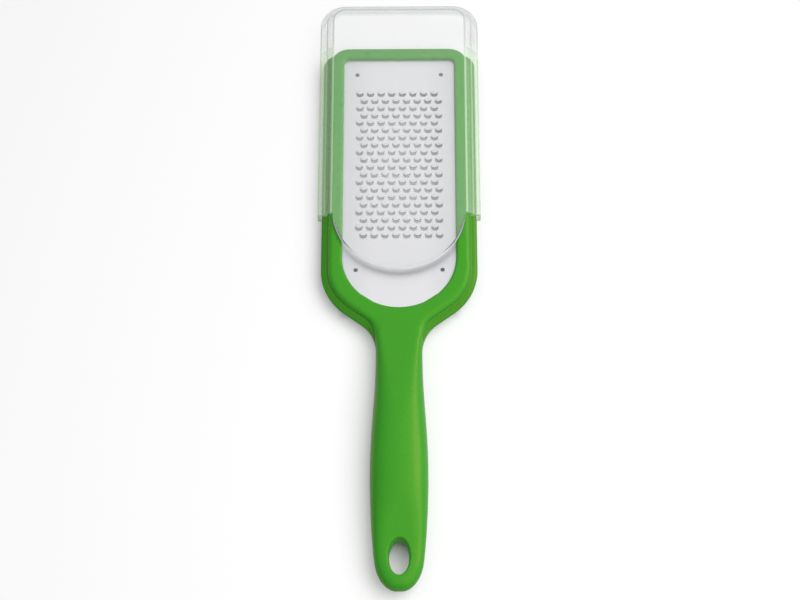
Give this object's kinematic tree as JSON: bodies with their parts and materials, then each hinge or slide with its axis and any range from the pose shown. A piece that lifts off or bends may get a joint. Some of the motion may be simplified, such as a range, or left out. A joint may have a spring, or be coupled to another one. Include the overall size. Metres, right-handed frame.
{
  "type": "fine grater",
  "caption": "Hand-held fine grater with a paddle-shaped plastic body, a toothed steel plate in its head, a hang hole in its handle and a clear cover that slides on the head.",
  "frame": {"origin": "middle of the whole object seen from above, cover as pictured, on the plane that its back rests on", "axes": "+X across the head, +Y along the tool towards the head's tip, +Z out of the grating face"},
  "size_m": [0.075, 0.297, 0.0154],
  "materials": {
    "green_plastic": "semi-gloss moulded green plastic",
    "plate_steel": "bright satin stainless sheet",
    "clear_plastic": "clear moulded plastic, slightly milky"
  },
  "bodies": {
    "body": {"front_shell": "green_plastic", "back_shell": "green_plastic", "grating_plate": "plate_steel"},
    "cover": {"slide_cover": "clear_plastic"}
  },
  "joints": [
    {"name": "cover_slide", "type": "slide", "parent": "body", "child": "cover", "axis": [0, 1, 0], "range_m": [-0.0222, 0.124]}
  ]
}
